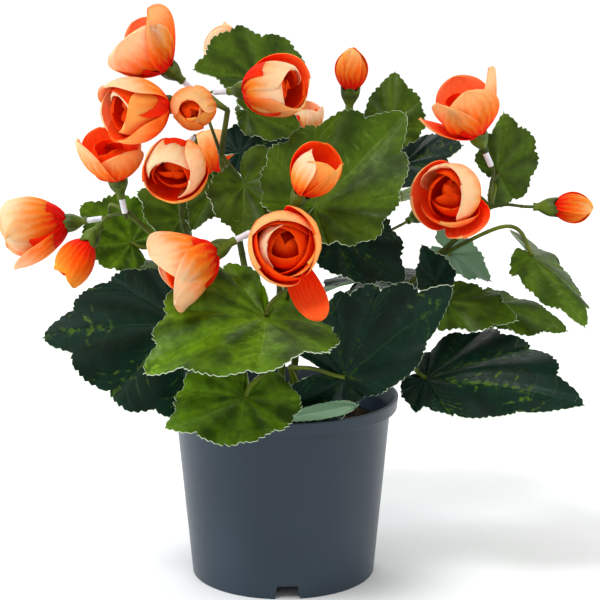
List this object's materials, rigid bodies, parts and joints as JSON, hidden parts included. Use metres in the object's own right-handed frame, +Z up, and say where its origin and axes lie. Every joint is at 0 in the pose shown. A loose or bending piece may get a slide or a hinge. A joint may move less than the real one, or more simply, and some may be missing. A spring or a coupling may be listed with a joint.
{
  "type": "potted begonia",
  "caption": "Artificial begonia of fabric and plastic: leafy, branching stalks with broad saw-edged leaves and orange blooms, standing in a tapered nursery pot.",
  "frame": {"origin": "middle of the plant's outline, on the surface that the pot stands on; it lies on the pot's axis to within 2.4 mm of that middle", "axes": "+Z up, -Y towards the front of the plant, +X to the viewer's right"},
  "size_m": [0.2986, 0.2437, 0.2958],
  "materials": {
    "pot": "dark slate grey, satin",
    "fill": "dark brown, coarse and matte",
    "stalk": "olive green, satin",
    "leaf_bright": "bright green above, pale grey-green below",
    "leaf_mid": "mid green above, pale grey-green below",
    "leaf_dark": "dark blue-green above with pale veins, pale grey-green below",
    "petal": "orange, paler to the tip and red at the root"
  },
  "bodies": {
    "root": {"pot": "pot", "fill": "fill", "stalk_left": "stalk", "stalk_upper_left": "stalk", "stalk_inner_left": "stalk", "stalk_front": "stalk", "stalk_centre": "stalk", "stalk_right": "stalk", "stalk_low_left": "stalk", "stalk_low_right": "stalk", "stalk_back": "stalk", "leaf_front_left": "leaf_bright", "leaf_front_low": "leaf_bright", "leaf_front_right": "leaf_dark", "leaf_low_left": "leaf_dark", "leaf_low_right": "leaf_dark", "leaf_centre": "leaf_mid", "leaf_top": "leaf_mid", "leaf_mid_left": "leaf_mid", "leaf_top_right": "leaf_mid", "leaf_behind_right": "leaf_dark", "leaf_right_upper": "leaf_mid", "leaf_right_drooping": "leaf_mid", "leaf_right_inner": "leaf_mid", "leaf_right_lower": "leaf_mid", "leaf_right_pointed": "leaf_mid", "leaf_stalk_small": "leaf_dark", "leaf_left_outer": "leaf_bright", "leaf_left_inner": "leaf_mid", "leaf_mid_left_pale": "leaf_mid", "leaf_centre_low": "leaf_dark", "leaf_top_under": "leaf_mid", "leaf_behind_centre": "leaf_dark", "leaf_back_left": "leaf_mid", "leaf_back_right": "leaf_dark", "leaf_back_low": "leaf_dark", "leaf_back_upper": "leaf_mid", "leaf_back_side": "leaf_bright", "bloom_top_left": "petal", "bloom_left_front": "petal", "bloom_left_half": "petal", "bloom_left_centre": "petal", "bloom_left_cup": "petal", "bloom_top_centre": "petal", "bloom_top_back": "petal", "bud_top": "petal", "bloom_centre_half": "petal", "bloom_behind_centre": "petal", "bloom_right_top": "petal", "bloom_right_front": "petal", "bud_right": "petal", "bloom_far_left": "petal", "bloom_far_left_half": "petal", "bloom_front_pale": "petal", "bloom_front_rose": "petal", "bloom_back_left": "petal", "bloom_back_right": "petal", "bud_back": "petal"}
  },
  "joints": []
}
